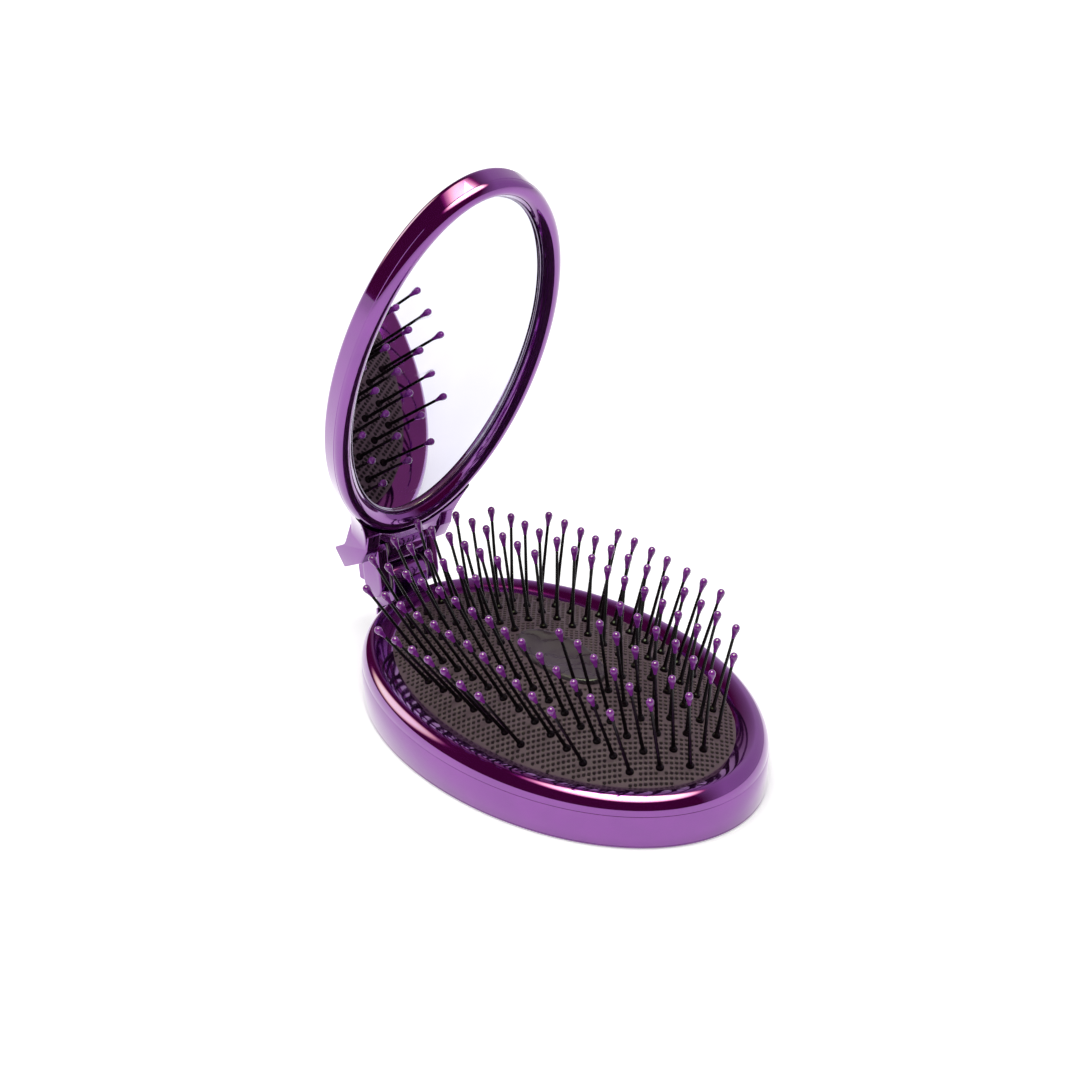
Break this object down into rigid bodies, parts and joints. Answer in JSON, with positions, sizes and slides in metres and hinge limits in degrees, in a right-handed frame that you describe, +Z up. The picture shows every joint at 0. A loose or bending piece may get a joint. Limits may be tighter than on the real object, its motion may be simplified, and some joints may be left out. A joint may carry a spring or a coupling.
{
  "type": "folding hairbrush with mirror",
  "caption": "Pocket hairbrush that folds: an oval cushioned brush half with ball-tipped pins, and an oval mirror lid on a two-pin link hinge.",
  "frame": {"origin": "centre of the flat underside of the brush half's oval", "axes": "+X runs along the oval away from the hinge, +Z up through the pins, +Y across the brush"},
  "size_m": [0.1084, 0.0639, 0.1064],
  "materials": {
    "shell_plastic": "metallised glossy purple",
    "cover_plastic": "glossy purple, a little darker than the shells",
    "inner_plastic": "plain dark moulding, hidden inside",
    "cushion_rubber": "dark warm grey rubber with a fine lattice of raised dots",
    "backing_rubber": "plain dark sheet, hidden inside",
    "inlay_rubber": "smooth, slightly brushed",
    "bristle_nylon": "near-black nylon, slightly glossy",
    "tip_plastic": "glossy purple drop",
    "pin_steel": "drawn wire",
    "washer_nylon": "natural nylon",
    "bezel_trim": "bright line round the mirror",
    "mirror_silver": "silvered glass",
    "backing_foam": "foam pad, hidden inside"
  },
  "bodies": {
    "base": {"base_shell": "shell_plastic", "base_cover": "cover_plastic", "cushion_retainer": "inner_plastic", "cushion_pad": "cushion_rubber", "cushion_backing": "backing_rubber", "cushion_inlay": "inlay_rubber", "pin_row_1": "bristle_nylon", "pin_row_2": "bristle_nylon", "pin_row_3": "bristle_nylon", "pin_row_4": "bristle_nylon", "pin_row_5": "bristle_nylon", "pin_row_6": "bristle_nylon", "pin_row_7": "bristle_nylon", "pin_row_8": "bristle_nylon", "pin_row_9": "bristle_nylon", "tip_row_1": "tip_plastic", "tip_row_2": "tip_plastic", "tip_row_3": "tip_plastic", "tip_row_4": "tip_plastic", "tip_row_5": "tip_plastic", "tip_row_6": "tip_plastic", "tip_row_7": "tip_plastic", "tip_row_8": "tip_plastic", "tip_row_9": "tip_plastic"},
    "link": {"hinge_link": "shell_plastic", "base_hinge_pin": "pin_steel", "lid_hinge_pin": "pin_steel", "base_hinge_washers": "washer_nylon", "lid_hinge_washers": "washer_nylon"},
    "lid": {"lid_shell": "shell_plastic", "lid_ring": "shell_plastic", "mirror_bezel": "bezel_trim", "mirror_glass": "mirror_silver", "mirror_backing": "backing_foam"}
  },
  "joints": [
    {"name": "fold", "type": "hinge", "parent": "base", "child": "link", "pos_m": [-0.052, 0, 0.0108], "axis": [0, -1, 0], "range_deg": [-70.2, 0], "deforming": ["pin_row_1", "pin_row_2", "pin_row_3", "pin_row_4", "pin_row_5", "pin_row_6", "pin_row_7", "pin_row_8", "pin_row_9", "tip_row_1", "tip_row_2", "tip_row_3", "tip_row_4", "tip_row_5", "tip_row_6", "tip_row_7", "tip_row_8", "tip_row_9"]},
    {"name": "lid_swing", "type": "hinge", "parent": "link", "child": "lid", "pos_m": [-0.05299, 0, 0.01773], "axis": [0, -1, 0], "range_deg": [0, 107.8]}
  ]
}
